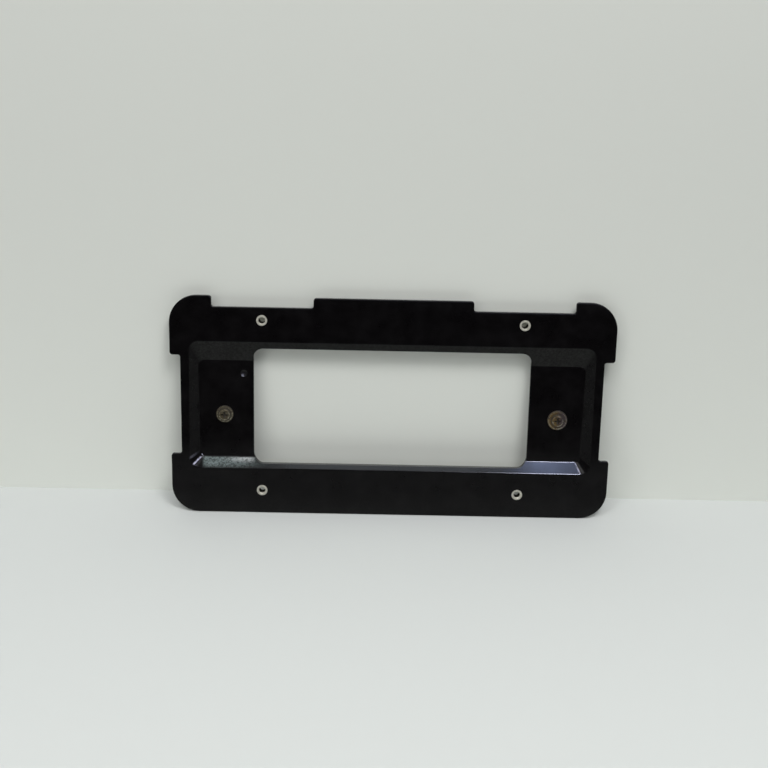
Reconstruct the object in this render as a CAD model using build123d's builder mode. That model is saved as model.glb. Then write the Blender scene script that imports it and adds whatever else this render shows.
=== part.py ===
"""Number plate holder: a moulded plate base with threaded inserts and two mounting screws.

The front faces -Y and +Z is up. The origin is the centre of the plate screw pattern,
on the flat face that the number plate bolts to. All sizes are in millimetres.
"""

import os
from math import atan2, tan

from build123d import *

# Plate screw pattern of the 12 x 6 inch plate
plate_hole_spacing_x = 177.8
plate_hole_spacing_z = 120.65

# Outline of the plate face, measured out from the plate screws
overall_width = 303.0
top_edge_margin = 8.8
bottom_edge_margin = 16.4
ear_rise = 7.6
ear_width = 28.6
tab_width = 108.1
tab_rise = 7.0
side_notch_depth = 7.1
side_notch_height = 70.2
side_notch_lift = 0.4
corner_radius = 19.0
step_outer_radius = 2.0
step_inner_radius = 1.5
wall = 2.5
rim_radius = 0.6

# Dished recess behind the plate, with unequal slopes down to its floor
recess_top_margin = 14.9
recess_bottom_margin = 15.9
recess_side_flange = 5.7
recess_depth = 6.2
top_slope_run = 14.5
bottom_slope_run = 6.9
side_slope_run = 6.2
recess_corner_radius = 7.0
floor_corner_radius = 4.0
crease_radius = 1.2

# Window through the recess
land_width = 37.5
window_top_lip = 5.0
window_bottom_lip = 2.8
window_corner_radius = 7.0

# Threaded inserts for the plate screws, and their bosses
insert_bore = 4.2
insert_wall = 1.65
insert_length = 8.0
insert_mouth_chamfer = 0.5
insert_groove_depth = 0.5
insert_groove_width = 2.0
insert_fit = 0.05
boss_wall = 2.2
boss_draft = 1.5
boss_foot_radius = 0.6

# Mounting screws on the two lands
screw_inset = 17.5
screw_drop = 7.2
thread_diameter = 6.0
thread_length = 9.0
thread_point_chamfer = 0.8
neck_diameter = 5.0
neck_clearance = 0.4
neck_relief = 0.6
left_flange_diameter = 12.0
right_flange_diameter = 13.8
flange_thickness = 1.1
flange_edge_radius = 0.4
drum_diameter = 8.0
drum_height = 2.2
drum_edge_radius = 0.7
drive_length = 4.8
drive_width = 1.3
drive_depth = 1.6

# Moulding gate mark on the left land
gate_inset = 6.6
gate_height = 21.9
gate_diameter = 5.0
gate_depth = 0.8

# Extra length of every through cut
cut_past = 1.0

# Levels of the outline
screw_row = plate_hole_spacing_z / 2
half_width = overall_width / 2
body_half_width = half_width - side_notch_depth
ear_inner = half_width - ear_width
top_edge = screw_row + top_edge_margin
ear_top = top_edge + ear_rise
tab_top = top_edge + tab_rise
bottom_edge = -screw_row - bottom_edge_margin
step_radii = (step_outer_radius, step_inner_radius, step_inner_radius, step_outer_radius)
notch_top = side_notch_lift + side_notch_height / 2
notch_bottom = side_notch_lift - side_notch_height / 2

# Levels of the recess at the face, and of its floor
recess_top = screw_row - recess_top_margin
recess_bottom = recess_bottom_margin - screw_row
recess_half_width = body_half_width - recess_side_flange
floor_top = recess_top - top_slope_run
floor_bottom = recess_bottom + bottom_slope_run
floor_half_width = recess_half_width - side_slope_run
floor_back = recess_depth + wall

# Levels of the window
window_top = recess_top - window_top_lip
window_bottom = recess_bottom + window_bottom_lip
window_half_width = floor_half_width - land_width

# Places and sizes that follow from the fits
insert_radius = insert_bore / 2 + insert_wall
boss_radius = insert_radius + insert_fit + boss_wall
screw_column = plate_hole_spacing_x / 2
plate_holes = [(x, 0, z) for x in (-screw_column, screw_column) for z in (-screw_row, screw_row)]
screw_x = floor_half_width - screw_inset
drum_radius = drum_diameter / 2
neck_radius = neck_diameter / 2
thread_radius = thread_diameter / 2
gate_radius = (gate_diameter**2 / 4 + gate_depth**2) / (2 * gate_depth)


def face_plane(depth):
    """Sketch plane parallel to the plate face and facing the front, at a depth behind it."""
    return Plane.XZ.offset(-depth)


def rounded_section(depth, half_span, bottom, top, radius):
    """Rounded rectangle on a plane parallel to the plate face."""
    with BuildSketch(face_plane(depth)) as section:
        with Locations((0, (top + bottom) / 2)):
            RectangleRounded(2 * half_span, top - bottom, radius)
    return section.sketch


def dish_sections(start, thickness):
    """Face and floor sections of the dish, grown so that each slope is this thick."""
    slope_runs = (side_slope_run, bottom_slope_run, top_slope_run)
    side, bottom, top = (thickness * tan(atan2(recess_depth, run) / 2) for run in slope_runs)
    at_face = rounded_section(
        start, recess_half_width + side, recess_bottom - bottom, recess_top + top,
        recess_corner_radius + side,
    )
    at_floor = rounded_section(
        start + recess_depth, floor_half_width + side, floor_bottom - bottom, floor_top + top,
        floor_corner_radius + side,
    )
    return [at_face, at_floor]


def insert_turning(bore_radius, fit, overrun):
    """Insert form turned about the Y axis, with its grip grown by a fit and its ends by an overrun."""
    grip = insert_radius + fit
    root = grip - insert_groove_depth
    groove_start = (insert_length - insert_groove_width) / 2 + fit
    groove_end = (insert_length + insert_groove_width) / 2 - fit
    front = -overrun
    back = insert_length + overrun
    with BuildPart() as turning:
        with BuildSketch(Plane.XY):
            with BuildLine():
                Polyline(
                    (bore_radius, front), (grip, front), (grip, groove_start), (root, groove_start),
                    (root, groove_end), (grip, groove_end), (grip, back), (bore_radius, back), close=True,
                )
            make_face()
        revolve(axis=Axis.Y)
    return turning.part


def washer_head_screw(x, flange_diameter):
    """Captive washer-head screw with a cross recess, seated on the recess floor at this x."""
    seat = Plane((x, recess_depth, -screw_drop))
    head_height = flange_thickness + drum_height
    flange_radius = flange_diameter / 2
    neck_end = wall + neck_relief
    tip = neck_end + thread_length
    with BuildPart() as screw:
        with BuildSketch(seat):
            with BuildLine():
                Polyline(
                    (0, -head_height), (drum_radius, -head_height), (drum_radius, -flange_thickness),
                    (flange_radius, -flange_thickness), (flange_radius, 0), (neck_radius, 0),
                    (neck_radius, neck_end), (thread_radius, neck_end), (thread_radius, tip), (0, tip),
                    close=True,
                )
            make_face()
        revolve(axis=Axis(seat.origin, (0, 1, 0)))
        rims = screw.edges().filter_by(GeomType.CIRCLE)
        chamfer(rims.sort_by(Axis.Y)[-1], thread_point_chamfer)
        fillet(rims.group_by(SortBy.RADIUS)[-1].sort_by(Axis.Y)[0], flange_edge_radius)
        fillet(rims.sort_by(Axis.Y)[0], drum_edge_radius)
        with BuildSketch(face_plane(recess_depth - head_height)):
            with Locations((x, -screw_drop)):
                Rectangle(drive_length, drive_width)
                Rectangle(drive_width, drive_length)
        extrude(amount=-drive_depth, mode=Mode.SUBTRACT)
    return screw.part


# Pocket for an insert, open at both ends, with a rib left to fill the insert's groove
insert_pocket = insert_turning(0, insert_fit, cut_past)
insert_blank = insert_turning(insert_bore / 2, 0, 0)

# One-piece moulding
with BuildPart() as holder:
    # Flat face with four ears and a top tab, rounded at the front
    with BuildSketch(face_plane(0)):
        with BuildLine():
            FilletPolyline(
                (0, tab_top), (tab_width / 2, tab_top), (tab_width / 2, top_edge), (ear_inner, top_edge),
                (ear_inner, ear_top), (half_width, ear_top), (half_width, notch_top),
                (body_half_width, notch_top), (body_half_width, notch_bottom), (half_width, notch_bottom),
                (half_width, bottom_edge), (0, bottom_edge),
                radius=2 * [*step_radii, corner_radius],
            )
            mirror(about=Plane.YZ)
        make_face()
    extrude(amount=-wall)
    fillet(holder.faces().sort_by(Axis.Y)[0].edges(), rim_radius)

    # Dish: its skin at the back, then its hollow at the front, with soft creases on both
    loft(dish_sections(wall, wall), ruled=True)
    skin_creases = holder.edges(Select.LAST).group_by(Axis.Y)
    fillet(skin_creases[0] + skin_creases[-1], crease_radius)
    loft(dish_sections(0, 0), ruled=True, mode=Mode.SUBTRACT)
    hollow_creases = holder.edges(Select.LAST).group_by(Axis.Y)
    fillet(hollow_creases[0] + hollow_creases[-1], crease_radius)

    # Window through the floor and into the top and bottom slopes
    window = rounded_section(-cut_past, window_half_width, window_bottom, window_top, window_corner_radius)
    extrude(window, amount=-(floor_back + 2 * cut_past), mode=Mode.SUBTRACT)

    # Drafted bosses behind the plate screws, with their insert pockets
    with BuildSketch(Plane((0, wall, 0), x_dir=(-1, 0, 0), z_dir=(0, 1, 0))):
        with GridLocations(plate_hole_spacing_x, plate_hole_spacing_z, 2, 2):
            Circle(boss_radius)
    extrude(amount=insert_length - wall, taper=boss_draft)
    fillet(holder.edges(Select.LAST).filter_by(GeomType.CIRCLE).group_by(Axis.Y)[0], boss_foot_radius)
    with Locations(*plate_holes):
        add(insert_pocket, mode=Mode.SUBTRACT)

    # Holes round the necks of the mounting screws
    with BuildSketch(face_plane(recess_depth - cut_past)):
        with Locations((-screw_x, -screw_drop), (screw_x, -screw_drop)):
            Circle(neck_radius + neck_clearance)
    extrude(amount=-(wall + 2 * cut_past), mode=Mode.SUBTRACT)

    # Shallow round gate mark on the left land
    with Locations((-window_half_width - gate_inset, recess_depth + gate_depth - gate_radius, gate_height)):
        Sphere(gate_radius, mode=Mode.SUBTRACT)

# Four inserts, bevelled at both mouths
with BuildPart() as threaded_inserts:
    with Locations(*plate_holes):
        add(insert_blank)
    mouths = threaded_inserts.edges().filter_by(GeomType.CIRCLE).group_by(SortBy.RADIUS)[0]
    chamfer(mouths, insert_mouth_chamfer)

# The two screws differ only in the washer of the head
left_mounting_screw = washer_head_screw(-screw_x, left_flange_diameter)
right_mounting_screw = washer_head_screw(screw_x, right_flange_diameter)

# Label and write each piece
os.makedirs("parts", exist_ok=True)
holder.part.label = "holder"
export_step(holder.part, "parts/holder.step")
threaded_inserts.part.label = "threaded_inserts"
export_step(threaded_inserts.part, "parts/threaded_inserts.step")
left_mounting_screw.label = "left_mounting_screw"
export_step(left_mounting_screw, "parts/left_mounting_screw.step")
right_mounting_screw.label = "right_mounting_screw"
export_step(right_mounting_screw, "parts/right_mounting_screw.step")
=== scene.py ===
"""Looks of a number plate holder: its finishes, threaded inserts, mounting screws, stage, light and camera.

The holder itself is the CAD solid with a moulded finish. The inserts and the screws replace
their CAD solids, so that they can carry real threads. Sizes are in millimetres unless said.
"""

import logging
import math
from dataclasses import dataclass, field
from enum import Enum
from typing import Any, Callable

import bmesh
import bpy
from mathutils import Matrix, Vector


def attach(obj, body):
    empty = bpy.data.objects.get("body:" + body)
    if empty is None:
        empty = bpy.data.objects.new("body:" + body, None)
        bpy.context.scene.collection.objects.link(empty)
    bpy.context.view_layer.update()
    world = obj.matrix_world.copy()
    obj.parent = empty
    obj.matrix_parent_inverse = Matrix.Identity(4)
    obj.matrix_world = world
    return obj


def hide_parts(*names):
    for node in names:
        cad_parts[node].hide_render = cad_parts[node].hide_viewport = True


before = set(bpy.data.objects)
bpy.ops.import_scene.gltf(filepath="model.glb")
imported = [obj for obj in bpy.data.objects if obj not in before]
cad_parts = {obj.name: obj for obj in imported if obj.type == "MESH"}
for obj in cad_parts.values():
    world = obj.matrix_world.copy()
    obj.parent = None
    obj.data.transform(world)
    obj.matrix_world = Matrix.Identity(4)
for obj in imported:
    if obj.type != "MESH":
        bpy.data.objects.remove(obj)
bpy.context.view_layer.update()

MM = 0.001
BODY = "root"
# Corners that turn by more than this stay sharp
SHARP_ANGLE = math.radians(32)

log = logging.getLogger("plate_holder")

Colour = tuple[float, float, float, float]
Point = tuple[float, float, float]
# Two places, the first where something starts and the second where it is full
Span = tuple[float, float]
Socket = bpy.types.NodeSocket
Tree = bpy.types.NodeTree


def linear(hex_colour: str) -> Colour:
    """Turn an sRGB hex value into a linear colour.

    Args:
        hex_colour: Six hex digits after a hash sign.

    Returns:
        Red, green, blue and alpha, from 0 to 1.
    """
    channels = [int(hex_colour[place:place + 2], 16) / 255 for place in (1, 3, 5)]
    red, green, blue = [c / 12.92 if c <= 0.04045 else ((c + 0.055) / 1.055) ** 2.4 for c in channels]
    return red, green, blue, 1.0


def per_metre(size: float) -> float:
    """Give the pattern scale whose features are about this many millimetres apart."""
    return 1.0 / (size * MM)


def metres(point: Point) -> Point:
    """Give a point in metres from one in millimetres."""
    return point[0] * MM, point[1] * MM, point[2] * MM


def add_node(
    tree: Tree, kind: str, sockets: dict[int | str, Any] | None = None, **settings: Any
) -> bpy.types.Node:
    """Add a node with its settings and links.

    Args:
        tree: The node tree that gets the node.
        kind: The node's type name.
        sockets: Inputs by name or number, each with a value or with the output that feeds it.
        settings: The node's own properties.

    Returns:
        The new node.
    """
    node = tree.nodes.new(kind)
    for name, value in settings.items():
        setattr(node, name, value)
    for key, value in (sockets or {}).items():
        if isinstance(value, Socket):
            tree.links.new(value, node.inputs[key])
        else:
            node.inputs[key].default_value = value
    return node


def off_axis(tree: Tree, local: Socket) -> Socket:
    """Measure how far a place lies from an axis along Y.

    Args:
        tree: The material's node tree.
        local: The place, counted from a point on the axis.

    Returns:
        The distance, in metres.
    """
    flat = add_node(tree, "ShaderNodeVectorMath", {
        0: local, 1: (1.0, 0.0, 1.0),
    }, operation="MULTIPLY").outputs[0]
    return add_node(tree, "ShaderNodeVectorMath", {0: flat}, operation="LENGTH").outputs["Value"]


def new_material(name: str) -> tuple[bpy.types.Material, Tree]:
    """Start an empty node material.

    Args:
        name: The material's name.

    Returns:
        The material and its node tree.
    """
    material = bpy.data.materials.new(name)
    material.use_nodes = True
    material.node_tree.nodes.clear()
    return material, material.node_tree


def make_piece(name: str, mesh: bmesh.types.BMesh, finish: bpy.types.Material) -> bpy.types.Object:
    """Turn a bmesh into a smooth-shaded object with sharp corners kept.

    Args:
        name: The piece's name.
        mesh: The finished bmesh, which is freed.
        finish: The piece's material.

    Returns:
        The new object, in the scene.
    """
    bmesh.ops.recalc_face_normals(mesh, faces=mesh.faces)
    data = bpy.data.meshes.new(name)
    mesh.to_mesh(data)
    mesh.free()
    data.materials.append(finish)
    data.shade_smooth()
    data.set_sharp_from_angle(angle=SHARP_ANGLE)
    piece = bpy.data.objects.new(name, data)
    bpy.context.scene.collection.objects.link(piece)
    return piece


class Side(Enum):
    """The land that a mounting screw sits on."""

    LEFT = -1
    RIGHT = 1


@dataclass(frozen=True)
class Patch:
    """Area of the moulding that carries a mark.

    Each fade names a coordinate, with the place where the area starts and where it is full.
    """

    strength: float
    fades: tuple[tuple[str, float, float], ...]

    def mask(self, tree: Tree, pattern: Socket, coordinates: dict[str, Socket]) -> Socket:
        """Limit a pattern to the area.

        Args:
            tree: The material's node tree.
            pattern: How strong the pattern is, from 0 to 1.
            coordinates: Outputs by the names that the fades use.

        Returns:
            How strong the pattern is inside the area.
        """
        for name, start, full in self.fades:
            fade = add_node(tree, "ShaderNodeMapRange", {
                "Value": coordinates[name], "From Min": start * MM, "From Max": full * MM,
            }, interpolation_type="SMOOTHSTEP").outputs[0]
            pattern = add_node(tree, "ShaderNodeMath", {
                0: pattern, 1: fade,
            }, operation="MULTIPLY").outputs[0]
        return add_node(tree, "ShaderNodeMath", {
            0: pattern, 1: self.strength,
        }, operation="MULTIPLY").outputs[0]


@dataclass(frozen=True)
class MouldedAbs:
    """Black ABS, injection moulded in a polished tool and handled for years.

    The polished tool leaves a satin gloss with a fine grain, so slopes that face a lamp shine
    and the flat face stays nearly black.
    """

    name: str = "black_abs_injection_moulded"
    colour: str = "#080708"
    worn_colour: str = "#100f10"
    dust_and_sheen_colour: str = "#8d918c"
    stain_colour: str = "#a6b8b6"
    lime_colour: str = "#e2e6e6"
    # Colour of the painted highlights on the corner creases, tinted like the lamps they stand in for
    glint_colour: str = "#d3d3ec"
    roughness: float = 0.12
    specular: float = 0.08
    ior: float = 1.53
    # The real grain is about 0.1 mm, drawn coarser here so that it shows
    grain: float = 0.5
    wave: float = 45.0
    mottle: float = 14.0
    scratch: float = 9.0
    scratch_patch: float = 26.0
    speck: float = 1.6
    blotch: float = 1.5
    # Slant of the scratches in radians, how drawn out they are, and their share of the wear
    scratch_slant: float = 0.5
    scratch_stretch: float = 16.0
    scratch_share: float = 0.6
    # Dust on the ledges that face up, a painted sheen on the upper slope that faces down, and splashes along
    # the bottom edge
    ledge_dust: float = 0.08
    slope_sheen: float = 0.042
    edge_splash: float = 0.022
    splash_height: Span = (-58.0, -78.0)
    # Roughness that full wear adds, that full dullness adds, and how dull the outer edges are
    worn_roughness: float = 0.05
    dull_roughness: float = 1.2
    edge_dullness: float = 0.4
    # Share of the mirror gloss that scoured places and outer edges keep
    scoured_gloss: float = 0.25
    # Where the outer edges lie, sideways and upwards
    outer_side: Span = (140.0, 142.0)
    outer_top: Span = (60.0, 64.0)
    gate_centre: Point = (-101.6, 0.0, 21.9)
    # Coordinates across slanted lines: a name, the axis across, the axis along and the slant
    slants: tuple[tuple[str, str, str, float], ...] = (
        ("right", "x", "y", 0.582), ("left", "x", "y", -0.96), ("above", "z", "x", -0.5),
    )
    # Dried water on the lower slope of the left land, whiter near the window
    water_stain: Patch = Patch(0.37, (
        ("x", -131.2, -128.6), ("x", -80.0, -122.0), ("z", -45.2, -42.0), ("z", -37.9, -38.6),
    ))
    lime_stain: Patch = Patch(0.44, (
        ("x", -121.0, -101.0), ("x", -93.0, -98.0), ("z", -42.0, -38.8), ("z", -37.9, -38.6),
    ))
    # Painted highlights down both lower corners of the recess, and a faint one above the left corner,
    # standing in for lamp glints on the corner creases
    glint_lines: tuple[Patch, ...] = (
        Patch(0.6, (
            ("right", 131.7, 132.3), ("right", 133.2, 132.6), ("z", -37.4, -38.4), ("z", -44.6, -43.8),
        )),
        Patch(0.95, (
            ("left", -137.2, -136.6), ("left", -135.8, -136.4), ("z", -37.6, -38.8), ("z", -42.9, -42.2),
        )),
        Patch(0.12, (
            ("above", 30.2, 31.4), ("above", 33.2, 32.2), ("x", -139.5, -138.2), ("x", -132.0, -137.5),
        )),
    )
    # Dull gate mark on the left land, and a scoured patch beside the left corner's rubbed line
    gate_mark: Patch = Patch(0.21, (("gate", 2.7, 2.2),))
    scoured_patch: Patch = Patch(1.0, (
        ("x", -127.5, -129.5), ("left", -136.6, -136.0), ("z", -38.4, -39.6), ("z", -45.0, -44.4),
    ))

    def coordinates(self, tree: Tree, place: Socket) -> dict[str, Socket]:
        """Work out the coordinates that the patches fade along.

        Args:
            tree: The material's node tree.
            place: The place on the holder.

        Returns:
            Outputs by name, in metres.
        """
        found = dict(zip("xyz", add_node(tree, "ShaderNodeSeparateXYZ", {0: place}).outputs))
        for name, across, along, slant in self.slants:
            found[name] = add_node(tree, "ShaderNodeMath", {
                0: found[along], 1: slant, 2: found[across],
            }, operation="MULTIPLY_ADD").outputs[0]
        from_gate = add_node(tree, "ShaderNodeVectorMath", {
            0: place, 1: metres(self.gate_centre),
        }, operation="SUBTRACT").outputs[0]
        found["gate"] = off_axis(tree, from_gate)
        return found

    def wear(self, tree: Tree, place: Socket) -> Socket:
        """Draw the handling marks: cloudy wear, and fine crossed scratches in patches.

        Args:
            tree: The material's node tree.
            place: The place on the holder.

        Returns:
            How worn the surface is, from 0 to 1.
        """
        cloud = add_node(tree, "ShaderNodeTexNoise", {
            "Vector": place, "Scale": per_metre(self.mottle), "Detail": 6.0, "Roughness": 0.62,
        }).outputs["Fac"]
        cloudy = add_node(tree, "ShaderNodeMapRange", {
            "Value": cloud, "From Min": 0.35, "From Max": 0.75,
        }, interpolation_type="SMOOTHSTEP").outputs[0]
        slanted = add_node(tree, "ShaderNodeMapping", {
            "Vector": place, "Rotation": (0.0, self.scratch_slant, 0.0),
            "Scale": (1.0, 1.0, self.scratch_stretch),
        }).outputs[0]
        lines = add_node(tree, "ShaderNodeTexVoronoi", {
            "Vector": slanted, "Scale": per_metre(self.scratch), "Randomness": 1.0,
        }, feature="DISTANCE_TO_EDGE").outputs["Distance"]
        scratched = add_node(tree, "ShaderNodeMapRange", {
            "Value": lines, "From Min": 0.0, "From Max": 0.012, "To Min": 1.0, "To Max": 0.0,
        }).outputs[0]
        patches = add_node(tree, "ShaderNodeTexNoise", {
            "Vector": place, "Scale": per_metre(self.scratch_patch), "Detail": 2.0,
        }).outputs["Fac"]
        handled = add_node(tree, "ShaderNodeMapRange", {
            "Value": patches, "From Min": 0.52, "From Max": 0.72,
        }, interpolation_type="SMOOTHSTEP").outputs[0]
        scuffs = add_node(tree, "ShaderNodeMath", {
            0: scratched, 1: handled,
        }, operation="MULTIPLY").outputs[0]
        return add_node(tree, "ShaderNodeMath", {
            0: scuffs, 1: self.scratch_share, 2: cloudy,
        }, operation="MULTIPLY_ADD", use_clamp=True).outputs[0]

    def dust_and_sheen(self, tree: Tree, place: Socket, height: Socket, upward: Socket) -> Socket:
        """Draw the speckled film of dust and splashes, and the painted sheen on the slopes that face down.

        Args:
            tree: The material's node tree.
            place: The place on the holder.
            height: The place along Z.
            upward: How much the surface faces up.

        Returns:
            The share of the surface that the film and the painted sheen cover.
        """
        film, sheen, splash = (add_node(tree, "ShaderNodeMapRange", {
            "Value": value, "From Min": start, "From Max": full, "To Max": most,
        }).outputs[0] for value, start, full, most in (
            (upward, 0.72, 1.0, self.ledge_dust),
            # Painted sheen: the slope that faces down is lightened to stand in for the floor's reflection
            (upward, -0.2, -0.36, self.slope_sheen),
            (height, self.splash_height[0] * MM, self.splash_height[1] * MM, self.edge_splash),
        ))
        for layer in (sheen, splash):
            film = add_node(tree, "ShaderNodeMath", {0: film, 1: layer}, operation="ADD").outputs[0]
        specks = add_node(tree, "ShaderNodeTexNoise", {
            "Vector": place, "Scale": per_metre(self.speck), "Detail": 5.0, "Roughness": 0.7,
        }).outputs["Fac"]
        speckled = add_node(tree, "ShaderNodeMapRange", {
            "Value": specks, "From Min": 0.3, "From Max": 0.7, "To Min": 0.3, "To Max": 1.3,
        }).outputs[0]
        return add_node(tree, "ShaderNodeMath", {0: film, 1: speckled}, operation="MULTIPLY").outputs[0]

    def dried_drops(self, tree: Tree, place: Socket, frontal: Socket) -> Socket:
        """Draw the blotches that dried water leaves on the front.

        Args:
            tree: The material's node tree.
            place: The place on the holder.
            frontal: How much the surface faces the front.

        Returns:
            How strong the blotches are, from 0 to 1.
        """
        blotches = add_node(tree, "ShaderNodeTexNoise", {
            "Vector": place, "Scale": per_metre(self.blotch), "Detail": 6.0, "Roughness": 0.72,
            "Distortion": 0.6,
        }).outputs["Fac"]
        blotched = add_node(tree, "ShaderNodeMapRange", {
            "Value": blotches, "From Min": 0.41, "From Max": 0.57, "To Min": 0.3, "To Max": 1.0,
        }, interpolation_type="SMOOTHSTEP").outputs[0]
        return add_node(tree, "ShaderNodeMath", {
            0: blotched, 1: frontal,
        }, operation="MULTIPLY").outputs[0]

    def outer_edges(self, tree: Tree, coordinates: dict[str, Socket], upward: Socket) -> Socket:
        """Find the outer edges that face up, which handling has dulled.

        Args:
            tree: The material's node tree.
            coordinates: The place on the holder, by the names of its axes.
            upward: How much the surface faces up.

        Returns:
            The mask of those edges, from 0 to 1.
        """
        aside = add_node(tree, "ShaderNodeMath", {0: coordinates["x"]}, operation="ABSOLUTE").outputs[0]
        beside, above = (add_node(tree, "ShaderNodeMapRange", {
            "Value": value, "From Min": start * MM, "From Max": full * MM,
        }).outputs[0] for value, (start, full) in (
            (aside, self.outer_side), (coordinates["z"], self.outer_top),
        ))
        outer = add_node(tree, "ShaderNodeMath", {0: beside, 1: above}, operation="MAXIMUM").outputs[0]
        facing_up = add_node(tree, "ShaderNodeMapRange", {
            "Value": upward, "From Min": 0.1, "From Max": 0.3,
        }).outputs[0]
        return add_node(tree, "ShaderNodeMath", {
            0: outer, 1: facing_up,
        }, operation="MULTIPLY").outputs[0]

    def relief(self, tree: Tree, place: Socket) -> Socket:
        """Draw the slow waves that cooling leaves, then the moulded grain.

        Args:
            tree: The material's node tree.
            place: The place on the holder.

        Returns:
            The bumped normal.
        """
        waves = add_node(tree, "ShaderNodeTexNoise", {
            "Vector": place, "Scale": per_metre(self.wave), "Detail": 1.0,
        }).outputs["Fac"]
        sunk = add_node(tree, "ShaderNodeBump", {
            "Height": waves, "Strength": 0.25, "Distance": 0.5 * MM,
        }).outputs[0]
        grains = add_node(tree, "ShaderNodeTexNoise", {
            "Vector": place, "Scale": per_metre(self.grain), "Detail": 2.0,
        }).outputs["Fac"]
        return add_node(tree, "ShaderNodeBump", {
            "Height": grains, "Strength": 0.15, "Distance": 0.03 * MM, "Normal": sunk,
        }).outputs[0]

    def build(self) -> bpy.types.Material:
        """Make the material.

        Returns:
            The material, with its patterns placed in the holder's own frame.
        """
        material, tree = new_material(self.name)
        place = add_node(tree, "ShaderNodeTexCoord").outputs["Object"]
        normal = add_node(tree, "ShaderNodeNewGeometry").outputs["Normal"]
        facing = add_node(tree, "ShaderNodeSeparateXYZ", {0: normal}).outputs
        frontal = add_node(tree, "ShaderNodeMapRange", {
            "Value": facing[1], "From Min": 0.0, "From Max": -0.2,
        }).outputs[0]
        coordinates = self.coordinates(tree, place)

        # Coats over the bare plastic, each laid on those before it, with the painted sheen and the painted
        # highlights among them
        worn = self.wear(tree, place)
        dust_and_sheen_cover = self.dust_and_sheen(tree, place, coordinates["z"], facing[2])
        dried = self.dried_drops(tree, place, frontal)
        stain, lime, *painted_glint = (
            patch.mask(tree, dried, coordinates)
            for patch in (self.water_stain, self.lime_stain, *self.glint_lines)
        )
        colour: Socket | Colour = linear(self.colour)
        for share, coat in (
            (worn, self.worn_colour), (dust_and_sheen_cover, self.dust_and_sheen_colour), (stain, self.stain_colour),
            (lime, self.lime_colour), *((line, self.glint_colour) for line in painted_glint),
        ):
            colour = add_node(tree, "ShaderNodeMix", {
                0: share, 6: colour, 7: linear(coat),
            }, data_type="RGBA").outputs[2]

        # Gloss: the film, the stains, the gate mark and the outer edges dull it
        edges = self.outer_edges(tree, coordinates, facing[2])
        gate = self.gate_mark.mask(tree, frontal, coordinates)
        dull = add_node(tree, "ShaderNodeMath", {
            0: edges, 1: self.edge_dullness,
        }, operation="MULTIPLY").outputs[0]
        for layer in (dust_and_sheen_cover, stain, lime, gate):
            dull = add_node(tree, "ShaderNodeMath", {0: dull, 1: layer}, operation="ADD").outputs[0]
        satin = add_node(tree, "ShaderNodeMapRange", {
            "Value": worn, "To Min": self.roughness, "To Max": self.roughness + self.worn_roughness,
        }).outputs[0]
        gloss = add_node(tree, "ShaderNodeMath", {
            0: dull, 1: self.dull_roughness, 2: satin,
        }, operation="MULTIPLY_ADD", use_clamp=True).outputs[0]

        # Mirror: the scoured patch and the outer edges reflect little
        scoured = self.scoured_patch.mask(tree, frontal, coordinates)
        faint = add_node(tree, "ShaderNodeMath", {0: scoured, 1: edges}, operation="MAXIMUM").outputs[0]
        mirror = add_node(tree, "ShaderNodeMapRange", {
            "Value": faint, "To Min": self.specular, "To Max": self.scoured_gloss * self.specular,
        }).outputs[0]
        surface = add_node(tree, "ShaderNodeBsdfPrincipled", {
            "Base Color": colour, "Roughness": gloss, "Normal": self.relief(tree, place),
            "IOR": self.ior, "Specular IOR Level": mirror,
        }).outputs[0]
        add_node(tree, "ShaderNodeOutputMaterial", {"Surface": surface})
        return material


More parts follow.
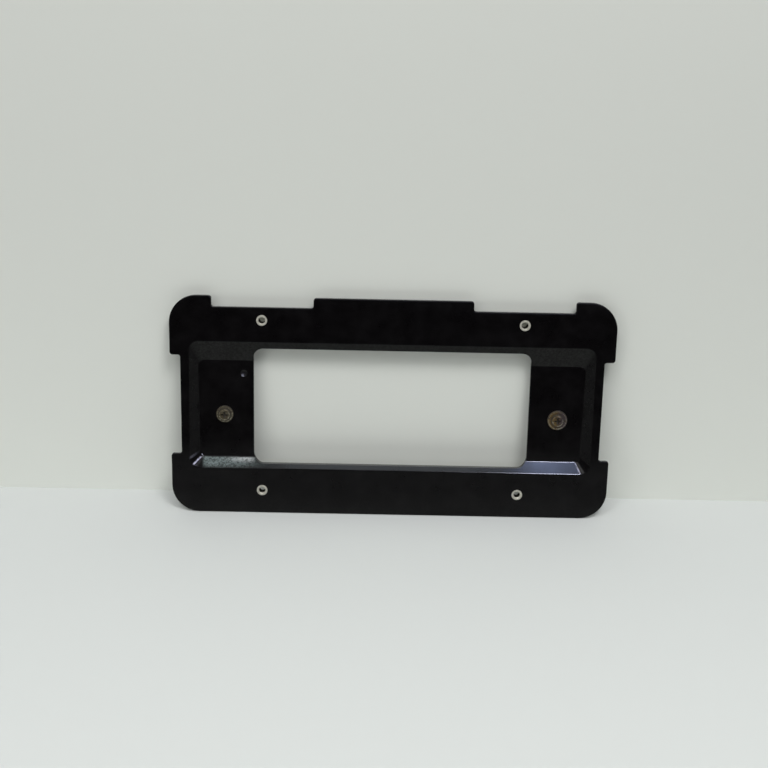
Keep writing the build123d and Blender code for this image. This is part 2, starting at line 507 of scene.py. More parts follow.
@dataclass(frozen=True)
class TurnedZincSteel:
    """Free-cutting steel, turned and then bright zinc plated.

    The plating gives an even, slightly warm silver, with faint rings left by the lathe tool.
    """

    name: str = "zinc_plated_steel_turned"
    colour: str = "#d2d0c6"
    # Colour of the painted shade inside the bores
    dull_colour: str = "#bab8ad"
    bore_shade_colour: str = "#1c1a15"
    clean_roughness: float = 0.54
    tarnished_roughness: float = 0.74
    # The real tool marks are about 0.08 mm apart, drawn coarser here so that they show
    tool_mark: float = 0.22
    tarnish: float = 2.2
    # Painted shade in the bore: how far in from the front and from the back, and how strong
    shade_front: Span = (0.6, 1.5)
    shade_back: Span = (0.4, 1.3)
    shade_strength: float = 0.97
    # How much nearer the mouth it lies for each millimetre up the holder
    shade_rise: float = 0.004

    def build(self, columns: float, rows: float, length: float) -> bpy.types.Material:
        """Make the material.

        Args:
            columns: Distance of each insert's axis from the holder's middle, sideways.
            rows: Distance of each insert's axis from the holder's middle, up and down.
            length: Length of each insert.

        Returns:
            The material, whose rings run round each insert.
        """
        material, tree = new_material(self.name)
        place = add_node(tree, "ShaderNodeTexCoord").outputs["Object"]
        folded = add_node(tree, "ShaderNodeVectorMath", {0: place}, operation="ABSOLUTE").outputs[0]
        local = add_node(tree, "ShaderNodeVectorMath", {
            0: folded, 1: metres((columns, 0.0, rows)),
        }, operation="SUBTRACT").outputs[0]
        turns = add_node(tree, "ShaderNodeMath", {
            0: off_axis(tree, local), 1: math.tau * per_metre(self.tool_mark),
        }, operation="MULTIPLY").outputs[0]
        rings = add_node(tree, "ShaderNodeMath", {0: turns}, operation="SINE").outputs[0]
        tarnish = add_node(tree, "ShaderNodeTexNoise", {
            "Vector": place, "Scale": per_metre(self.tarnish), "Detail": 5.0, "Roughness": 0.65,
        }).outputs["Fac"]
        dulled = add_node(tree, "ShaderNodeMapRange", {
            "Value": tarnish, "From Min": 0.42, "From Max": 0.72,
        }, interpolation_type="SMOOTHSTEP").outputs[0]

        # Painted shade inside the bores, nearer the mouth in the top row and clear of the back ends
        axes = add_node(tree, "ShaderNodeSeparateXYZ", {0: place}).outputs
        depth = add_node(tree, "ShaderNodeMath", {
            0: axes[2], 1: self.shade_rise, 2: axes[1],
        }, operation="MULTIPLY_ADD").outputs[0]
        start, full = self.shade_front
        bore_shade = add_node(tree, "ShaderNodeMapRange", {
            "Value": depth, "From Min": start * MM, "From Max": full * MM, "To Max": self.shade_strength,
        }, interpolation_type="SMOOTHSTEP").outputs[0]
        start, full = self.shade_back
        inside = add_node(tree, "ShaderNodeMapRange", {
            "Value": axes[1], "From Min": (length - start) * MM, "From Max": (length - full) * MM,
        }, interpolation_type="SMOOTHSTEP").outputs[0]
        # This mask is painted shade in the bores
        grime_and_shade = add_node(tree, "ShaderNodeMath", {
            0: bore_shade, 1: inside,
        }, operation="MULTIPLY").outputs[0]

        colour: Socket | Colour = linear(self.colour)
        for share, coat in ((dulled, self.dull_colour), (grime_and_shade, self.bore_shade_colour)):
            colour = add_node(tree, "ShaderNodeMix", {
                0: share, 6: colour, 7: linear(coat),
            }, data_type="RGBA").outputs[2]
        gloss = add_node(tree, "ShaderNodeMapRange", {
            "Value": tarnish, "To Min": self.clean_roughness, "To Max": self.tarnished_roughness,
        }).outputs[0]
        relief = add_node(tree, "ShaderNodeBump", {
            "Height": rings, "Strength": 0.12, "Distance": 0.01 * MM,
        }).outputs[0]
        surface = add_node(tree, "ShaderNodeBsdfPrincipled", {
            "Base Color": colour, "Roughness": gloss, "Normal": relief, "Metallic": 1.0,
        }).outputs[0]
        add_node(tree, "ShaderNodeOutputMaterial", {"Surface": surface})
        return material


@dataclass(frozen=True)
class HeadForm:
    """Places and sizes of a screw's head that its grime, painted shade and painted highlights follow."""

    axis: Point
    washer_radius: float
    washer_front: float
    drum_radius: float
    front: float
    drive_reach: float


@dataclass(frozen=True)
class WeatheredYellowZinc:
    """Cold-headed steel with a yellow chromate zinc plating, weathered outdoors.

    Weather turns the plating olive and brown in blotches and packs grime into the cross recess.
    Painted shade darkens the foot of the drum and the washer's edge, and painted highlights run
    round the rims, strongest at the bottom.
    """

    name: str
    plating: str = "#544d3b"
    cast: str = "#565044"
    rust: str = "#382e21"
    oxide: str = "#6a6657"
    # Dark for the grime in the drive and the painted shade round the drum and along the washer's edge
    grime_and_shade_colour: str = "#2c2820"
    # Colour of the painted highlights round the rims
    rim_highlight: str = "#a8a391"
    clean_roughness: float = 0.4
    blotched_roughness: float = 0.7
    # Rust hides about half of the metal, and the grime and the painted shade hide all of it
    metallic: float = 0.9
    rusted_metallic: float = 0.45
    blotch: float = 2.4
    bloom: float = 1.3
    # Where the cast comes in across the head, and where the painted highlight dies down it
    cast_across: Span = (-2.5, 3.5)
    glint_down: Span = (2.0, -3.0)
    # Share of the painted highlight that the top of the head keeps
    glint_top: float = 0.3
    # Distance of the painted highlight rings inside the edges of the washer and the drum, and their fade
    washer_inset: float = 0.85
    drum_inset: float = 0.55
    ring_fade: Span = (0.5, 0.1)
    # Grime in the drive, and painted shade round the foot of the drum and along the washer's edge: their
    # depth in the head, their fade off the drive, the drum and the washer's edge
    grime_and_shade_depth: Span = (0.1, 0.9)
    drive_fade: float = 0.4
    drum_shade: float = 0.75
    drum_fade: Span = (1.4, 0.2)
    foot_fade: Span = (0.6, 0.3)
    edge_shade: float = 0.85
    edge_fade: Span = (0.5, 0.15)

    def painted_glint(self, tree: Tree, head: HeadForm, reach: Socket, height: Socket, bloom: Socket) -> Socket:
        """Draw the painted highlights round the rims of the washer and the drum, strongest at the bottom,
        where they stand in for the floor's reflection.

        Args:
            tree: The material's node tree.
            head: The head that they run round.
            reach: Distance from the axis.
            height: Height over the axis.
            bloom: The cloudy pattern that breaks them up.

        Returns:
            How strong the painted highlight is, from 0 to 1.
        """
        rings = []
        for radius in (head.washer_radius - self.washer_inset, head.drum_radius - self.drum_inset):
            beside = add_node(tree, "ShaderNodeMath", {
                0: reach, 1: radius * MM,
            }, operation="SUBTRACT").outputs[0]
            aside = add_node(tree, "ShaderNodeMath", {0: beside}, operation="ABSOLUTE").outputs[0]
            rings.append(add_node(tree, "ShaderNodeMapRange", {
                "Value": aside, "From Min": self.ring_fade[0] * MM, "From Max": self.ring_fade[1] * MM,
            }, interpolation_type="SMOOTHSTEP").outputs[0])
        painted_glint = add_node(tree, "ShaderNodeMath", {
            0: rings[0], 1: rings[1],
        }, operation="MAXIMUM").outputs[0]
        broken = add_node(tree, "ShaderNodeMapRange", {
            "Value": bloom, "From Min": 0.35, "From Max": 0.62, "To Max": 0.9,
        }, interpolation_type="SMOOTHSTEP").outputs[0]
        low = add_node(tree, "ShaderNodeMapRange", {
            "Value": height, "From Min": self.glint_down[0] * MM, "From Max": self.glint_down[1] * MM,
            "To Min": self.glint_top,
        }).outputs[0]
        for share in (broken, low):
            painted_glint = add_node(tree, "ShaderNodeMath", {
                0: painted_glint, 1: share,
            }, operation="MULTIPLY").outputs[0]
        return painted_glint

    def grime_and_shade(self, tree: Tree, head: HeadForm, reach: Socket, along: Socket) -> Socket:
        """Draw the grime in the cross recess, and the painted shade round the foot of the drum and along the
        washer's edge.

        Args:
            tree: The material's node tree.
            head: The head that it sits on.
            reach: Distance from the axis.
            along: The place along Y.

        Returns:
            The share of the surface that the grime and the painted shade cover.
        """
        sunk = add_node(tree, "ShaderNodeMapRange", {
            "Value": along, "From Min": (head.front + self.grime_and_shade_depth[0]) * MM,
            "From Max": (head.front + self.grime_and_shade_depth[1]) * MM,
        }, interpolation_type="SMOOTHSTEP").outputs[0]
        drive, beside, before, edge = (add_node(tree, "ShaderNodeMapRange", {
            "Value": value, "From Min": start * MM, "From Max": full * MM, "To Max": most,
        }).outputs[0] for value, start, full, most in (
            (reach, head.drive_reach + self.drive_fade, head.drive_reach, 1.0),
            (reach, *(head.drum_radius + fade for fade in self.drum_fade), self.drum_shade),
            (along, *(head.washer_front + fade for fade in self.foot_fade), 1.0),
            (reach, *(head.washer_radius - fade for fade in self.edge_fade), self.edge_shade),
        ))
        foot = add_node(tree, "ShaderNodeMath", {0: beside, 1: before}, operation="MULTIPLY").outputs[0]
        filled = add_node(tree, "ShaderNodeMath", {0: drive, 1: foot}, operation="MAXIMUM").outputs[0]
        deep = add_node(tree, "ShaderNodeMath", {0: sunk, 1: filled}, operation="MULTIPLY").outputs[0]
        return add_node(tree, "ShaderNodeMath", {0: deep, 1: edge}, operation="MAXIMUM").outputs[0]

    def build(self, head: HeadForm) -> bpy.types.Material:
        """Make the material.

        Args:
            head: The head that the grime, painted shade and painted highlights follow.

        Returns:
            The material, placed round the screw's axis.
        """
        material, tree = new_material(self.name)
        place = add_node(tree, "ShaderNodeTexCoord").outputs["Object"]
        local = add_node(tree, "ShaderNodeVectorMath", {
            0: place, 1: metres(head.axis),
        }, operation="SUBTRACT").outputs[0]
        axes = add_node(tree, "ShaderNodeSeparateXYZ", {0: local}).outputs
        reach = off_axis(tree, local)
        blotch = add_node(tree, "ShaderNodeTexNoise", {
            "Vector": place, "Scale": per_metre(self.blotch), "Detail": 6.0, "Roughness": 0.68,
            "Distortion": 0.4,
        }).outputs["Fac"]
        bloom = add_node(tree, "ShaderNodeTexNoise", {
            "Vector": place, "Scale": per_metre(self.bloom), "Detail": 4.0, "Roughness": 0.6,
        }).outputs["Fac"]

        # The cast, blotches of rust and pale oxide, painted highlights on the rims, and grime with painted
        # shade over the plating
        tinted, rusted, bloomed = (add_node(tree, "ShaderNodeMapRange", {
            "Value": value, "From Min": start, "From Max": full, "To Max": most,
        }, interpolation_type="SMOOTHSTEP").outputs[0] for value, start, full, most in (
            (axes[0], self.cast_across[0] * MM, self.cast_across[1] * MM, 1.0),
            (blotch, 0.46, 0.62, 1.0),
            (bloom, 0.52, 0.70, 0.8),
        ))
        painted_glint = self.painted_glint(tree, head, reach, axes[2], bloom)
        grime_and_shade = self.grime_and_shade(tree, head, reach, axes[1])
        colour: Socket | Colour = linear(self.plating)
        for share, coat in (
            (tinted, self.cast), (rusted, self.rust), (bloomed, self.oxide), (painted_glint, self.rim_highlight),
            (grime_and_shade, self.grime_and_shade_colour),
        ):
            colour = add_node(tree, "ShaderNodeMix", {
                0: share, 6: colour, 7: linear(coat),
            }, data_type="RGBA").outputs[2]

        bare = add_node(tree, "ShaderNodeMapRange", {
            "Value": rusted, "To Min": self.metallic, "To Max": self.rusted_metallic,
        }).outputs[0]
        clean = add_node(tree, "ShaderNodeMapRange", {
            "Value": grime_and_shade, "To Min": 1.0, "To Max": 0.0,
        }).outputs[0]
        metal = add_node(tree, "ShaderNodeMath", {0: bare, 1: clean}, operation="MULTIPLY").outputs[0]
        gloss = add_node(tree, "ShaderNodeMapRange", {
            "Value": blotch, "From Min": 0.3, "From Max": 0.7,
            "To Min": self.clean_roughness, "To Max": self.blotched_roughness,
        }).outputs[0]
        relief = add_node(tree, "ShaderNodeBump", {
            "Height": bloom, "Strength": 0.35, "Distance": 0.12 * MM,
        }).outputs[0]
        surface = add_node(tree, "ShaderNodeBsdfPrincipled", {
            "Base Color": colour, "Metallic": metal, "Roughness": gloss, "Normal": relief,
        }).outputs[0]
        add_node(tree, "ShaderNodeOutputMaterial", {"Surface": surface})
        return material


@dataclass(frozen=True)
class MattBoard:
    """Painted board with a rolled matt coat, which scatters light evenly."""

    name: str
    colour: str
    one_sided: bool = False
    stipple: float = 1.5
    roughness: float = 0.9
    specular: float = 0.1

    def build(self) -> bpy.types.Material:
        """Make the material.

        Returns:
            The material, which is clear from behind where it is one-sided.
        """
        material, tree = new_material(self.name)
        place = add_node(tree, "ShaderNodeTexCoord").outputs["Object"]
        speckle = add_node(tree, "ShaderNodeTexNoise", {
            "Vector": place, "Scale": per_metre(self.stipple), "Detail": 3.0,
        }).outputs["Fac"]
        relief = add_node(tree, "ShaderNodeBump", {
            "Height": speckle, "Strength": 0.08, "Distance": 0.1 * MM,
        }).outputs[0]
        surface = add_node(tree, "ShaderNodeBsdfPrincipled", {
            "Base Color": linear(self.colour), "Roughness": self.roughness,
            "Specular IOR Level": self.specular, "Normal": relief,
        }).outputs[0]
        if self.one_sided:
            behind = add_node(tree, "ShaderNodeNewGeometry").outputs["Backfacing"]
            shadow = add_node(tree, "ShaderNodeLightPath").outputs["Is Shadow Ray"]
            clear = add_node(tree, "ShaderNodeMath", {
                0: behind, 1: shadow,
            }, operation="MAXIMUM").outputs[0]
            surface = add_node(tree, "ShaderNodeMixShader", {
                0: clear, 1: surface, 2: add_node(tree, "ShaderNodeBsdfTransparent").outputs[0],
            }).outputs[0]
        add_node(tree, "ShaderNodeOutputMaterial", {"Surface": surface})
        return material


@dataclass(frozen=True)
class MetricThread:
    """Coarse 60-degree thread with flat crests and roots."""

    pitch: float = 0.8
    depth: float = 0.43
    # Shares of the pitch, from the middle of the crest, where the flank starts and ends
    flank: Span = (0.0625, 0.375)

    def cut(self, turn: float, along: float) -> float:
        """Give how deep the groove is at a place on the thread.

        Args:
            turn: Place round the axis, from 0 to 1.
            along: Place along the axis.

        Returns:
            The depth below the crest.
        """
        start, end = self.flank
        off_crest = abs((along / self.pitch - turn) % 1.0 - 0.5)
        share = (off_crest - start) / (end - start)
        return self.depth * min(max(share, 0.0), 1.0)


@dataclass
class Turning:
    """Rings of points round an axis along Y, skinned in the order in which they are added."""

    axis_x: float
    axis_z: float
    segments: int = 72
    round_steps: int = 7
    # Pull of the sharp corner on the curve that rounds it
    round_pull: float = 1.15
    rings: list[list[Vector]] = field(default_factory=list)

    def ring(self, along: float, radius: float | Callable[[float], float]) -> None:
        """Add a ring.

        Args:
            along: Place of the ring along Y.
            radius: One radius, or a function that gives it at each turn from 0 to 1.
        """
        points = []
        for step in range(self.segments):
            turn = step / self.segments
            reach = radius(turn) if callable(radius) else radius
            sideways = self.axis_x + reach * math.cos(math.tau * turn)
            upwards = self.axis_z + reach * math.sin(math.tau * turn)
            points.append(MM * Vector((sideways, along, upwards)))
        self.rings.append(points)

    def arc(self, start: Span, end: Span, corner: Span) -> None:
        """Add rings along a rounded corner.

        Args:
            start: Place along Y and radius where the round starts.
            end: Place along Y and radius where it ends.
            corner: Place along Y and radius of the sharp corner that it rounds.
        """
        for step in range(self.round_steps + 1):
            share = step / self.round_steps
            weights = ((1 - share) ** 2, self.round_pull * share * (1 - share) * 2, share ** 2)
            total = sum(weights)
            along, radius = (
                sum(w * p[k] for w, p in zip(weights, (start, corner, end))) / total for k in (0, 1)
            )
            self.ring(along, radius)

    def skin(self, mesh: bmesh.types.BMesh, joined: bool) -> None:
        """Make the faces between the rings.

        Args:
            mesh: The bmesh that gets them.
            joined: Whether the last ring joins the first, instead of both being capped.
        """
        made = [[mesh.verts.new(point) for point in ring] for ring in self.rings]
        pairs = list(zip(made, made[1:]))
        if joined:
            pairs.append((made[-1], made[0]))
        else:
            mesh.faces.new(made[0])
            mesh.faces.new(made[-1])
        for first, second in pairs:
            for step in range(self.segments):
                after = (step + 1) % self.segments
                mesh.faces.new((first[step], first[after], second[after], second[step]))


@dataclass
class Moulding:
    """The one-piece moulded plate base, which is the CAD solid as it stands."""

    node: str = "holder"
    finish: MouldedAbs = MouldedAbs()

    def dress(self) -> bpy.types.Object:
        """Give the CAD solid its moulded finish.

        Returns:
            The solid's object.
        """
        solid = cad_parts[self.node]
        finish = self.finish.build()
        for place in solid.material_slots:
            place.material = finish
        return solid


@dataclass
class ThreadedInserts:
    """Four turned inserts with the threads that the number plate's screws go into."""

    node: str = "threaded_inserts"
    column: float = 177.8 / 2
    row: float = 120.65 / 2
    bore: float = 2.1
    outside: float = 3.75
    length: float = 8.0
    mouth: float = 0.5
    edge_break: float = 0.15
    groove_depth: float = 0.5
    groove_width: float = 2.0
    rows_per_pitch: int = 14
    thread: MetricThread = MetricThread()
    finish: TurnedZincSteel = TurnedZincSteel()

    def bore_radius(self, turn: float, along: float) -> float:
        """Give the radius of the threaded bore, opened out by the bevel at each mouth.

        Args:
            turn: Place round the axis, from 0 to 1.
            along: Place along the axis.

        Returns:
            The radius there.
        """
        from_end = min(along, self.length - along)
        bevel = self.bore + self.mouth - from_end
        return max(self.bore + self.thread.cut(turn, along), bevel)

    def turned(self, mesh: bmesh.types.BMesh, axis_x: float, axis_z: float) -> None:
        """Add one insert to a bmesh.

        Args:
            mesh: The bmesh that gets it.
            axis_x: Place of its axis along X.
            axis_z: Place of its axis along Z.
        """
        turning = Turning(axis_x, axis_z)
        near = (self.length - self.groove_width) / 2
        far = (self.length + self.groove_width) / 2
        root = self.outside - self.groove_depth
        turning.ring(0.0, self.outside - self.edge_break)
        turning.ring(self.edge_break, self.outside)
        turning.ring(near, self.outside)
        turning.ring(near, root)
        turning.ring(far, root)
        turning.ring(far, self.outside)
        turning.ring(self.length - self.edge_break, self.outside)
        turning.ring(self.length, self.outside - self.edge_break)
        rows = round(self.rows_per_pitch * self.length / self.thread.pitch)
        for step in range(rows, -1, -1):
            along = self.length * step / rows
            turning.ring(along, lambda turn, along=along: self.bore_radius(turn, along))
        turning.skin(mesh, joined=True)

    def build(self) -> bpy.types.Object:
        """Make the four inserts as one piece that stands for the CAD node.

        Returns:
            The piece.
        """
        mesh = bmesh.new()
        for axis_x in (-self.column, self.column):
            for axis_z in (-self.row, self.row):
                self.turned(mesh, axis_x, axis_z)
        piece = make_piece("insert_threads", mesh, self.finish.build(self.column, self.row, self.length))
        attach(piece, BODY)
        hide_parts(self.node)
        return piece


@dataclass
class MountingScrew:
    """Captive washer-head screw that holds the moulding to the vehicle."""

    side: Side
    washer_radius: float
    finish: WeatheredYellowZinc
    axis_x: float = 115.0
    axis_z: float = -7.2
    seat: float = 6.2
    washer_thickness: float = 1.1
    washer_round: float = 0.4
    washer_break: float = 0.12
    drum_radius: float = 4.0
    drum_height: float = 2.2
    drum_round: float = 0.7
    face_inset: float = 0.3
    foot_round: float = 0.35
    neck_radius: float = 2.5
    neck_length: float = 3.1
    thread_radius: float = 3.0
    thread_length: float = 9.0
    point_bevel: float = 0.8
    drive_reach: float = 2.4
    drive_width: float = 1.3
    drive_depth: float = 1.6
    # Levels of the drive from above the head down: shares of its depth and of its width
    drive_levels: tuple[tuple[float, float], ...] = ((-0.25, 1.06), (0.75, 0.80), (1.0, 0.45))
    rows_per_pitch: int = 14
    thread: MetricThread = MetricThread(pitch=1.0, depth=0.6)

    @property
    def centre_x(self) -> float:
        """Place of the screw's axis along X."""
        return self.side.value * self.axis_x

    @property
    def washer_front(self) -> float:
        """Place of the front of the washer along Y."""
        return self.seat - self.washer_thickness

    @property
    def head_front(self) -> float:
        """Place of the front of the head along Y."""
        return self.washer_front - self.drum_height

    @property
    def node(self) -> str:
        """Name of the CAD node that the screw stands for."""
        return f"{self.side.name.lower()}_mounting_screw"

    def shank_radius(self, turn: float, along: float) -> float:
        """Give the radius of the threaded shank, with its run-out and its bevelled point.

        Args:
            turn: Place round the axis, from 0 to 1.
            along: Distance from the start of the thread.

        Returns:
            The radius there.
        """
        bevel = self.thread_radius - self.point_bevel + (self.thread_length - along)
        run_out = self.neck_radius + along
        return min(self.thread_radius - self.thread.cut(turn, along), bevel, run_out)

    def head_rings(self, turning: Turning) -> None:
        """Add the rings of the drum and the washer, front first.

        Args:
            turning: The turning that gets them.
        """
        front, top = self.head_front, self.washer_front
        turning.ring(front, self.drum_radius - self.drum_round - self.face_inset)
        turning.arc(
            (front, self.drum_radius - self.drum_round),
            (front + self.drum_round, self.drum_radius),
            (front, self.drum_radius),
        )
        turning.arc(
            (top - self.foot_round, self.drum_radius),
            (top, self.drum_radius + self.foot_round),
            (top, self.drum_radius),
        )
        turning.arc(
            (top, self.washer_radius - self.washer_round),
            (top + self.washer_round, self.washer_radius),
            (top, self.washer_radius),
        )
        turning.ring(self.seat - self.washer_break, self.washer_radius)
        turning.ring(self.seat, self.washer_radius - self.washer_break)

    def shank_rings(self, turning: Turning) -> None:
        """Add the rings of the neck and the thread, from the seat to the point.

        Args:
            turning: The turning that gets them.
        """
        turning.ring(self.seat, self.neck_radius)
        start = self.seat + self.neck_length
        rows = round(self.rows_per_pitch * self.thread_length / self.thread.pitch)
        for step in range(rows + 1):
            along = self.thread_length * step / rows
            turning.ring(start + along, lambda turn, along=along: self.shank_radius(turn, along))

    def drive_cutter(self, finish: bpy.types.Material) -> bpy.types.Object:
        """Make the tapered cross that cuts the drive recess.

        Args:
            finish: The screw's material.

        Returns:
            The cutter's object.
        """
        mesh = bmesh.new()
        loops = []
        for level, share in self.drive_levels:
            depth = self.head_front + level * self.drive_depth
            long, short = share * self.drive_reach, share * self.drive_width / 2
            corners = (
                (long, short), (short, short), (short, long), (-short, long), (-short, short), (-long, short),
                (-long, -short), (-short, -short), (-short, -long), (short, -long), (short, -short),
                (long, -short),
            )
            loops.append([
                mesh.verts.new(MM * Vector((self.centre_x + x, depth, self.axis_z + z))) for x, z in corners
            ])
        for upper, lower in zip(loops, loops[1:]):
            for step in range(len(upper)):
                after = (step + 1) % len(upper)
                mesh.faces.new((upper[step], upper[after], lower[after], lower[step]))
        mesh.faces.new(loops[0])
        mesh.faces.new(loops[-1])
        return make_piece(f"{self.node}_cutter", mesh, finish)

    def cut_drive(self, piece: bpy.types.Object) -> None:
        """Cut the cross recess into the head.

        Args:
            piece: The screw, whose mesh is replaced by the cut one.
        """
        finish = piece.data.materials[0]
        cutter = self.drive_cutter(finish)
        cut = piece.modifiers.new("drive", "BOOLEAN")
        cut.operation = "DIFFERENCE"
        cut.solver = "EXACT"
        cut.object = cutter
        graph = bpy.context.evaluated_depsgraph_get()
        data = bpy.data.meshes.new_from_object(piece.evaluated_get(graph))
        piece.modifiers.clear()
        piece.data = data
        data.materials.clear()
        data.materials.append(finish)
        data.polygons.foreach_set("material_index", [0] * len(data.polygons))
        data.shade_smooth()
        data.set_sharp_from_angle(angle=SHARP_ANGLE)
        bpy.data.objects.remove(cutter)

    def build(self) -> bpy.types.Object:
        """Make the screw as one piece that stands for its CAD node.

        Returns:
            The piece.
        """
        turning = Turning(self.centre_x, self.axis_z)
        self.head_rings(turning)
        self.shank_rings(turning)
        mesh = bmesh.new()
        turning.skin(mesh, joined=False)
        finish = self.finish.build(HeadForm(
            (self.centre_x, 0.0, self.axis_z), self.washer_radius, self.washer_front,
            self.drum_radius, self.head_front, self.drive_reach,
        ))
        piece = make_piece(f"{self.side.name.lower()}_screw", mesh, finish)
        self.cut_drive(piece)
        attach(piece, BODY)
        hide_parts(self.node)
        return piece


@dataclass(frozen=True)
class Softbox:
    """Square or oblong lamp with a plain white diffuser, placed and sized in metres."""

    name: str
    place: Point
    aim: Point
    width: float
    height: float
    radiance: float
    tint: str = "#ffffff"
    # Full angle of the beam in degrees, as a grid in front of the diffuser narrows it
    beam: float = 180.0

    def build(self) -> bpy.types.Object:
        """Hang the lamp so that it faces its aim.

        Returns:
            The lamp's object.
        """
        half = math.radians(self.beam) / 2
        data = bpy.data.lights.new(self.name, "AREA")
        data.shape = "RECTANGLE"
        data.size, data.size_y = self.width, self.height
        data.energy = self.radiance * math.pi * self.width * self.height * (1.0 - half / math.tan(half))
        data.spread = 2 * half
        data.color = linear(self.tint)[:3]
        lamp = bpy.data.objects.new(self.name, data)
        lamp.location = self.place
        lamp.rotation_euler = (Vector(self.aim) - Vector(self.place)).to_track_quat("-Z", "Y").to_euler()
        lamp.visible_camera = False
        bpy.context.scene.collection.objects.link(lamp)
        return lamp


@dataclass
class Stage:
    """Pale floor and a pale board that the holder leans on, in metres."""

    # Lean of the holder in degrees, and the place of its foot along Y and Z
    lean: float = 9.0
    foot: tuple[float, float] = (0.0025, -0.0766)
    board_gap: float = 0.0187
    floor_front: float = -0.29
    floor_back: float = 0.9
    half_span: float = 1.4
    board_height: float = 1.0
    floor_finish: MattBoard = MattBoard("matt_painted_floor", "#cdd0cf")
    board_finish: MattBoard = MattBoard("matt_painted_board", "#e2e5df", one_sided=True)

    def panel(self, name: str, corners: list[Point], finish: bpy.types.Material) -> None:
        """Make a flat stage panel, turned into the holder's frame.

        Args:
            name: The panel's name.
            corners: Its four corners in the leaning frame.
            finish: Its material.
        """
        mesh = bmesh.new()
        mesh.faces.new([mesh.verts.new(corner) for corner in corners])
        data = bpy.data.meshes.new(name)
        mesh.to_mesh(data)
        mesh.free()
        data.materials.append(finish)
        data.transform(Matrix.Rotation(math.radians(self.lean), 4, "X"))
        panel = bpy.data.objects.new(name, data)
        bpy.context.scene.collection.objects.link(panel)

    def build(self) -> None:
        """Make the floor under the foot of the holder and the board behind its screws."""
        lean = math.radians(self.lean)
        level = self.foot[1] * math.cos(lean) - self.foot[0] * math.sin(lean)
        span = self.half_span
        self.panel("floor", [
            (-span, self.floor_front, level), (span, self.floor_front, level),
            (span, self.floor_back, level), (-span, self.floor_back, level),
        ], self.floor_finish.build())
        self.panel("board", [
            (-span, self.board_gap, level), (span, self.board_gap, level),
            (span, self.board_gap, self.board_height), (-span, self.board_gap, self.board_height),
        ], self.board_finish.build())


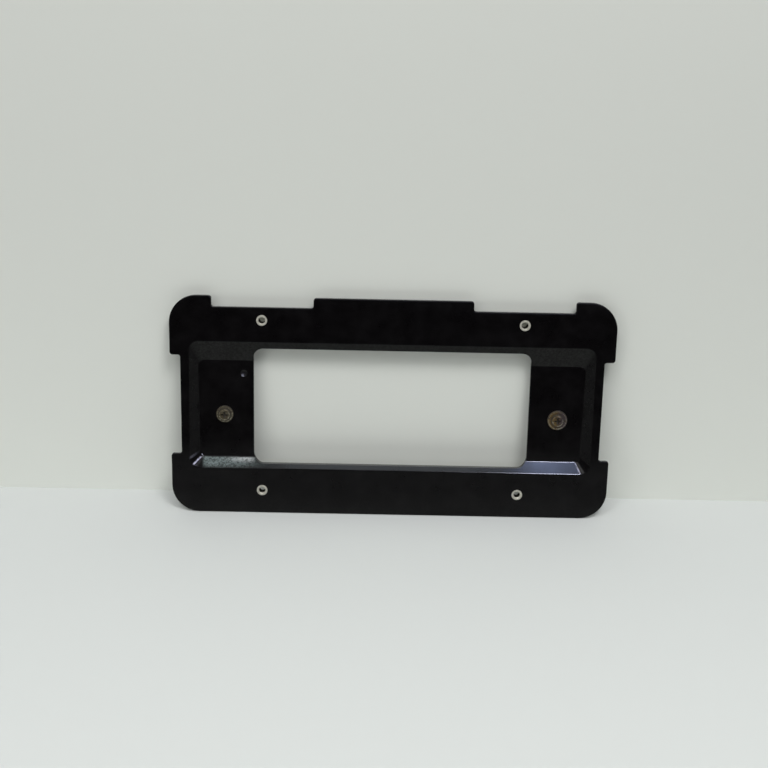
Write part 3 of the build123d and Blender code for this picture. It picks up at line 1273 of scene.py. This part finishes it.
@dataclass
class Lighting:
    """Soft lamps above and in front, and a dim room, all in the holder's frame in metres."""

    lamps: tuple[Softbox, ...] = (
        Softbox("key_right", (0.35, -1.05, 1.20), (0.0, 0.0, 0.0), 0.40, 0.40, 14.8),
        Softbox("fill_left", (-0.35, -0.95, 1.10), (0.0, 0.0, 0.0), 0.40, 0.40, 3.7),
        Softbox("top_front", (0.0, -1.40, 1.40), (0.0, 0.0, 0.0), 1.80, 1.20, 2.0),
        Softbox("low_left", (-1.0, -1.20, 0.25), (0.0, 0.0, 0.0), 0.60, 0.50, 3.1),
        Softbox("low_right", (1.0, -1.20, 0.25), (0.0, 0.0, 0.0), 0.60, 0.50, 0.8),
    )
    # Panels that only the moulding mirrors, which draw its lower slope and creases
    panels: tuple[Softbox, ...] = (
        Softbox("slope_right", (0.27, -0.276, 0.79), (0.143, 0.0, -0.04), 0.18, 0.20, 31.0, "#bfd0ff", 24.0),
        Softbox("slope_core", (0.195, -0.276, 0.79), (0.0915, 0.0, -0.04), 0.04, 0.20, 68.0, "#bfd0ff", 24.0),
        Softbox("slope_middle", (0.015, -0.276, 0.79), (0.0, 0.0, -0.04), 0.33, 0.20, 16.5, "#dfeaf2", 34.0),
        Softbox("crease", (0.335, -1.00, 0.65), (0.335, 0.0, 0.65), 0.20, 0.60, 235.0, "#dfe4ff"),
    )
    # Soft panels behind, which only light the pieces themselves: the black moulding takes more
    rear: Softbox = Softbox("rear", (0.0, 1.30, 1.30), (0.0, 0.0, 0.0), 2.0, 1.0, 18.0)
    rear_fittings: Softbox = Softbox("rear_fittings", (0.0, 1.30, 1.30), (0.0, 0.0, 0.0), 2.0, 1.0, 3.0)
    room_colour: str = "#d8d9d7"
    ceiling_strength: float = 1.34
    horizon_strength: float = 0.025
    backdrop_strength: float = 0.75
    # Height in the room, as a share, where it starts to brighten towards the ceiling
    ceiling_start: float = 0.42
    # Share of the backdrop that gloss picks up, since the room in front is dim
    gloss_share: float = 0.05

    def limited(self, box: Softbox, pieces: list[bpy.types.Object]) -> bpy.types.Object:
        """Hang a lamp that lights some pieces alone.

        Args:
            box: The lamp.
            pieces: The pieces that it lights.

        Returns:
            The lamp's object.
        """
        lamp = box.build()
        receivers = bpy.data.collections.new(f"{box.name}_receivers")
        for piece in pieces:
            receivers.objects.link(piece)
        lamp.light_linking.receiver_collection = receivers
        return lamp

    def make_room(self) -> None:
        """Make the room: dim at the horizon, bright overhead, and a pale backdrop to the eye."""
        world = bpy.data.worlds.new("room")
        world.use_nodes = True
        bpy.context.scene.world = world
        tree = world.node_tree
        tree.nodes.clear()
        axes = add_node(tree, "ShaderNodeSeparateXYZ", {
            0: add_node(tree, "ShaderNodeTexCoord").outputs["Generated"],
        }).outputs
        rising = add_node(tree, "ShaderNodeMapRange", {
            "Value": axes[2], "From Min": self.ceiling_start, "From Max": 1.0,
            "To Min": self.horizon_strength, "To Max": self.ceiling_strength,
        }, interpolation_type="SMOOTHSTEP").outputs[0]
        room, backdrop = (add_node(tree, "ShaderNodeBackground", {
            "Color": linear(self.room_colour), "Strength": strength,
        }).outputs[0] for strength in (rising, self.backdrop_strength))
        path = add_node(tree, "ShaderNodeLightPath").outputs
        seen = add_node(tree, "ShaderNodeMath", {
            0: path["Is Camera Ray"], 1: path["Is Transmission Ray"],
        }, operation="MAXIMUM").outputs[0]
        shown = add_node(tree, "ShaderNodeMath", {
            0: path["Is Glossy Ray"], 1: self.gloss_share, 2: seen,
        }, operation="MULTIPLY_ADD", use_clamp=True).outputs[0]
        sky = add_node(tree, "ShaderNodeMixShader", {0: shown, 1: room, 2: backdrop}).outputs[0]
        add_node(tree, "ShaderNodeOutputWorld", {"Surface": sky})

    def build(self, moulding: bpy.types.Object, fittings: list[bpy.types.Object]) -> None:
        """Hang the lamps and make the room.

        Args:
            moulding: The moulded base, which the panels are for.
            fittings: The metal pieces in it.
        """
        for lamp in self.lamps:
            lamp.build()
        for panel in self.panels:
            self.limited(panel, [moulding]).visible_diffuse = False
        self.limited(self.rear, [moulding])
        self.limited(self.rear_fittings, fittings)
        self.make_room()


@dataclass(frozen=True)
class PhotoCamera:
    """Camera at the photograph's viewpoint, in metres, solved from the four inserts and the outline."""

    place: Point = (-0.01269, -0.84578, 0.2364)
    right: Point = (0.99977, -0.00296, 0.02115)
    up: Point = (-0.01973, 0.25028, 0.96797)
    focal_pixels: float = 1280.0
    frame_pixels: float = 768.0
    # Width of the sensor in millimetres
    sensor: float = 36.0

    def build(self) -> None:
        """Set the camera up and make it the scene's own."""
        data = bpy.data.cameras.new("photo_camera")
        data.sensor_fit = "HORIZONTAL"
        data.sensor_width = self.sensor
        data.lens = self.focal_pixels / self.frame_pixels * self.sensor
        camera = bpy.data.objects.new("photo_camera", data)
        right = Vector(self.right).normalized()
        back = right.cross(Vector(self.up)).normalized()
        turned = Matrix((right, back.cross(right), back)).transposed().to_4x4()
        camera.matrix_world = Matrix.Translation(self.place) @ turned
        bpy.context.scene.collection.objects.link(camera)
        bpy.context.scene.camera = camera


def main() -> None:
    """Build and dress the holder, then the stage, the light and the camera."""
    logging.basicConfig(level=logging.INFO, format="%(name)s: %(message)s")
    bpy.context.scene.view_settings.view_transform = "Standard"
    moulding = Moulding().dress()
    log.info("%s dressed in %s", moulding.name, moulding.material_slots[0].material.name)
    olive = WeatheredYellowZinc("yellow_zinc_steel_weathered_olive")
    gold = WeatheredYellowZinc(
        "yellow_zinc_steel_weathered_gold", plating="#6b5836", cast="#4b4147", oxide="#6b6263",
    )
    fittings = [builder.build() for builder in (
        ThreadedInserts(),
        MountingScrew(Side.LEFT, washer_radius=6.0, finish=olive),
        MountingScrew(Side.RIGHT, washer_radius=6.9, finish=gold),
    )]
    for piece in fittings:
        log.info("%s built with %d faces", piece.name, len(piece.data.polygons))
    Stage().build()
    Lighting().build(moulding, fittings)
    PhotoCamera().build()
    log.info("stage, light and camera set")


if __name__ == "__main__":
    main()
